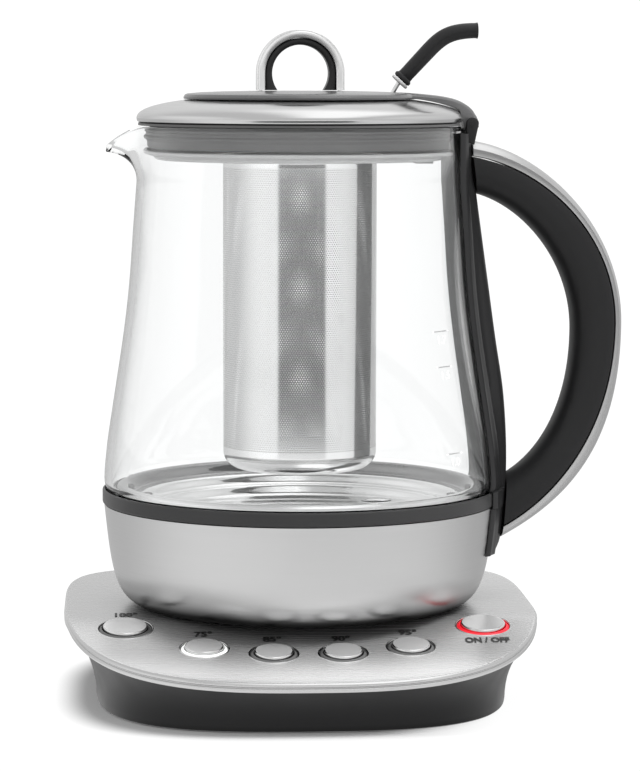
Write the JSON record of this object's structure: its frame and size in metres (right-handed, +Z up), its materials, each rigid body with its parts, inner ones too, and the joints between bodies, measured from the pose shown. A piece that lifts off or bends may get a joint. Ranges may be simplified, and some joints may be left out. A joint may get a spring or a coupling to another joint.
{
  "type": "electric tea kettle",
  "caption": "Electric glass tea kettle with a steel tea filter inside, a hinged lid with a hoop and thumb lever, and a D handle, on a power base with push buttons.",
  "frame": {"origin": "bottom centre of the whole kettle's bounding box, on the table", "axes": "+Z up, the button panel faces -Y, the handle lies towards +X"},
  "size_m": [0.2162, 0.1916, 0.2587],
  "materials": {
    "brushed_steel": "brushed",
    "polished_steel": "polished",
    "aluminium": "plain",
    "brass": "plain",
    "black_plastic": "satin",
    "dark_plastic": "satin",
    "grey_plastic": "satin",
    "rubber": "matt",
    "silicone": "translucent",
    "light_plastic": "translucent",
    "red_plastic": "translucent",
    "glass": "clear",
    "board_green": "plain"
  },
  "bodies": {
    "base": {"base_top_plate": "brushed_steel", "base_body_shell": "dark_plastic", "base_bottom_cover": "dark_plastic", "control_board": "board_green", "base_connector": "black_plastic", "contact_ring": "brass", "contact_pin": "brass", "cord_gland": "rubber", "rubber_foot_front_left": "rubber", "rubber_foot_front_right": "rubber", "rubber_foot_back_left": "rubber", "rubber_foot_back_right": "rubber", "base_screw_front_left": "polished_steel", "base_screw_front_right": "polished_steel", "base_screw_back_left": "polished_steel", "base_screw_back_right": "polished_steel", "light_ring_100": "light_plastic", "light_ring_75": "light_plastic", "light_ring_85": "light_plastic", "light_ring_90": "light_plastic", "light_ring_95": "light_plastic", "light_ring_power": "red_plastic"},
    "jug": {"glass_jug": "glass", "steel_shell": "brushed_steel", "jug_bottom_cover": "black_plastic", "band_ring": "black_plastic", "glass_gasket": "silicone", "steel_floor": "polished_steel", "temperature_sensor": "polished_steel", "heat_plate": "aluminium", "heating_element": "brushed_steel", "jug_socket": "black_plastic", "socket_contact": "brass", "handle_spine": "black_plastic", "hinge_pin": "polished_steel", "handle_strip": "brushed_steel", "handle_grip": "black_plastic", "handle_screw_upper": "polished_steel", "handle_screw_lower": "polished_steel", "filter_basket": "polished_steel", "filter_collar": "silicone"},
    "lid": {"lid_cap": "black_plastic", "lid_dome": "brushed_steel", "lid_underside": "dark_plastic", "lid_seal": "rubber", "hoop_steel": "polished_steel", "hoop_insert": "black_plastic", "lid_screw_left": "polished_steel", "lid_screw_right": "polished_steel", "lever_pin": "polished_steel"},
    "lever": {"lever_rod": "polished_steel", "lever_washer": "grey_plastic", "lever_grip": "black_plastic"},
    "button_100": {"button_100": "polished_steel"},
    "button_75": {"button_75": "polished_steel"},
    "button_85": {"button_85": "polished_steel"},
    "button_90": {"button_90": "polished_steel"},
    "button_95": {"button_95": "polished_steel"},
    "button_power": {"button_power": "polished_steel"}
  },
  "joints": [
    {"name": "jug_lift", "type": "slide", "parent": "base", "child": "jug", "axis": [0, 0, 1], "range_m": [0, 0.12]},
    {"name": "lid_hinge", "type": "hinge", "parent": "jug", "child": "lid", "pos_m": [0.04865, 0.005, 0.2201], "axis": [0, 1, 0], "range_deg": [0, 90]},
    {"name": "lever_press", "type": "hinge", "parent": "lid", "child": "lever", "pos_m": [0.01795, 0.005, 0.2306], "axis": [0, 1, 0], "range_deg": [0, 10], "stiffness_Nm_per_rad": 0.06, "springref_deg": -4.58},
    {"name": "press_100", "type": "slide", "parent": "base", "child": "button_100", "axis": [0, 0.2011, -0.9796], "range_m": [0, 0.0008], "stiffness_N_per_m": 300, "springref_m": -0.001},
    {"name": "press_75", "type": "slide", "parent": "base", "child": "button_75", "axis": [0, 0.2011, -0.9796], "range_m": [0, 0.0008], "stiffness_N_per_m": 300, "springref_m": -0.001},
    {"name": "press_85", "type": "slide", "parent": "base", "child": "button_85", "axis": [0, 0.2011, -0.9796], "range_m": [0, 0.0008], "stiffness_N_per_m": 300, "springref_m": -0.001},
    {"name": "press_90", "type": "slide", "parent": "base", "child": "button_90", "axis": [0, 0.2011, -0.9796], "range_m": [0, 0.0008], "stiffness_N_per_m": 300, "springref_m": -0.001},
    {"name": "press_95", "type": "slide", "parent": "base", "child": "button_95", "axis": [0, 0.2011, -0.9796], "range_m": [0, 0.0008], "stiffness_N_per_m": 300, "springref_m": -0.001},
    {"name": "press_power", "type": "slide", "parent": "base", "child": "button_power", "axis": [0, 0.2011, -0.9796], "range_m": [0, 0.0008], "stiffness_N_per_m": 300, "springref_m": -0.001}
  ]
}
